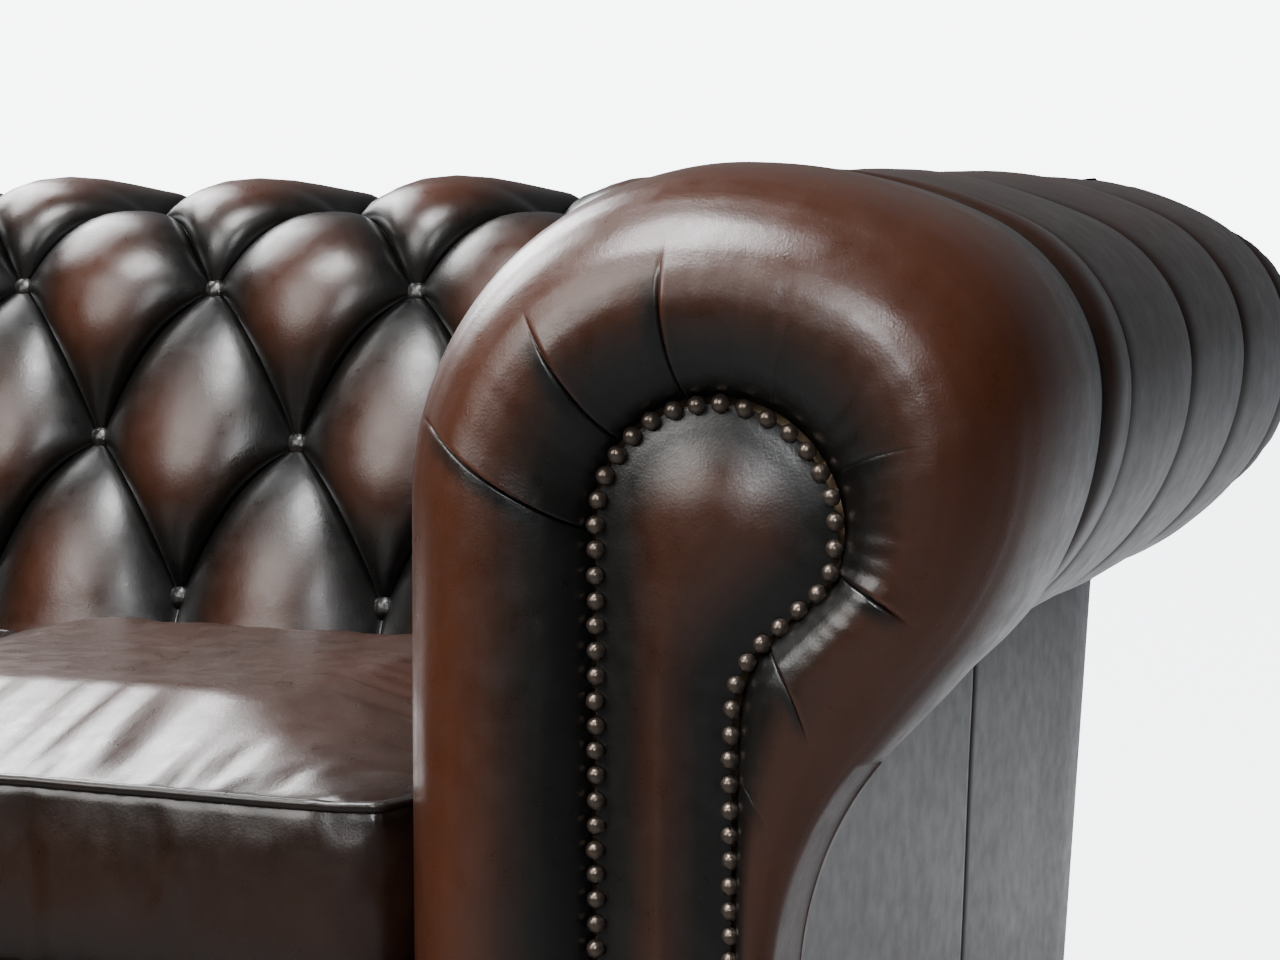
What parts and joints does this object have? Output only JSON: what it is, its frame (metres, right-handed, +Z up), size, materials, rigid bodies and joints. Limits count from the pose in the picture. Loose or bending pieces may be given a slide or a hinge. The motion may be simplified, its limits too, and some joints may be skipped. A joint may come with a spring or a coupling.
{
  "type": "chesterfield corner sofa",
  "caption": "L-shaped chesterfield corner sofa in antique brown leather: deep-buttoned back and scroll arms of one height, studded arm fronts, loose seat cushions and bun feet.",
  "frame": {"origin": "on the floor, under the middle of the sofa's bounding box", "axes": "+Z up; the right wing runs along X against the +Y side and its seat faces -Y; the left wing runs along Y against the -X side and its seat faces +X"},
  "size_m": [2.5, 2.5, 0.8],
  "materials": {
    "leather": "antique two-tone red-brown, semi-gloss, nearly black in the folds",
    "cushion_leather": "antique two-tone red-brown, semi-gloss",
    "facing_leather": "antique red-brown, semi-gloss",
    "panel_leather": "antique red-brown, semi-gloss",
    "button_leather": "antique dark brown, semi-gloss",
    "studs": "antiqued, dull pewter and bronze, hammered dome",
    "feet": "dark stained, satin varnish",
    "frame_wood": "sawn hardwood and plywood, bare",
    "steel": "bright zinc",
    "cloth": "black woven lining"
  },
  "bodies": {
    "sofa": {"bun_feet": "feet", "corner_back_buttons": "button_leather", "corner_back_pad_left": "leather", "corner_back_pad_right": "leather", "corner_back_ribs": "frame_wood", "corner_base_rails": "frame_wood", "corner_outside_backs": "panel_leather", "corner_seat_deck": "cloth", "corner_seat_springs": "steel", "corner_top_rails": "frame_wood", "dust_covers": "cloth", "foot_blocks": "frame_wood", "foot_bolts": "steel", "join_bolts": "steel", "join_nuts": "steel", "left_arm_border": "leather", "left_arm_buttons": "button_leather", "left_arm_facing": "facing_leather", "left_arm_front_board": "frame_wood", "left_arm_pad": "leather", "left_arm_ribs": "frame_wood", "left_arm_studs": "studs", "left_arm_top_rail": "frame_wood", "left_back_buttons": "button_leather", "left_back_pad": "leather", "left_back_rail": "frame_wood", "left_back_ribs": "frame_wood", "left_back_top_rail": "frame_wood", "left_end_rails": "frame_wood", "left_front_border": "panel_leather", "left_front_rail": "frame_wood", "left_outside_arm": "panel_leather", "left_outside_back": "panel_leather", "left_seat_deck": "cloth", "left_seat_springs": "steel", "right_arm_border": "leather", "right_arm_buttons": "button_leather", "right_arm_facing": "facing_leather", "right_arm_front_board": "frame_wood", "right_arm_pad": "leather", "right_arm_ribs": "frame_wood", "right_arm_studs": "studs", "right_arm_top_rail": "frame_wood", "right_back_buttons": "button_leather", "right_back_pad": "leather", "right_back_rail": "frame_wood", "right_back_ribs": "frame_wood", "right_back_top_rail": "frame_wood", "right_end_rails": "frame_wood", "right_front_border": "panel_leather", "right_front_rail": "frame_wood", "right_outside_arm": "panel_leather", "right_outside_back": "panel_leather", "right_seat_deck": "cloth", "right_seat_springs": "steel"},
    "corner_cushion_body": {"corner_cushion": "cushion_leather"},
    "left_cushion_inner_body": {"left_cushion_inner": "cushion_leather"},
    "left_cushion_outer_body": {"left_cushion_outer": "cushion_leather"},
    "right_cushion_inner_body": {"right_cushion_inner": "cushion_leather"},
    "right_cushion_outer_body": {"right_cushion_outer": "cushion_leather"}
  },
  "joints": [
    {"name": "corner_cushion_lift", "type": "slide", "parent": "sofa", "child": "corner_cushion_body", "axis": [0, 0, 1], "range_m": [0, 0.45]},
    {"name": "left_cushion_inner_lift", "type": "slide", "parent": "sofa", "child": "left_cushion_inner_body", "axis": [0, 0, 1], "range_m": [0, 0.45]},
    {"name": "left_cushion_outer_lift", "type": "slide", "parent": "sofa", "child": "left_cushion_outer_body", "axis": [0, 0, 1], "range_m": [0, 0.45]},
    {"name": "right_cushion_inner_lift", "type": "slide", "parent": "sofa", "child": "right_cushion_inner_body", "axis": [0, 0, 1], "range_m": [0, 0.45]},
    {"name": "right_cushion_outer_lift", "type": "slide", "parent": "sofa", "child": "right_cushion_outer_body", "axis": [0, 0, 1], "range_m": [0, 0.45]}
  ]
}
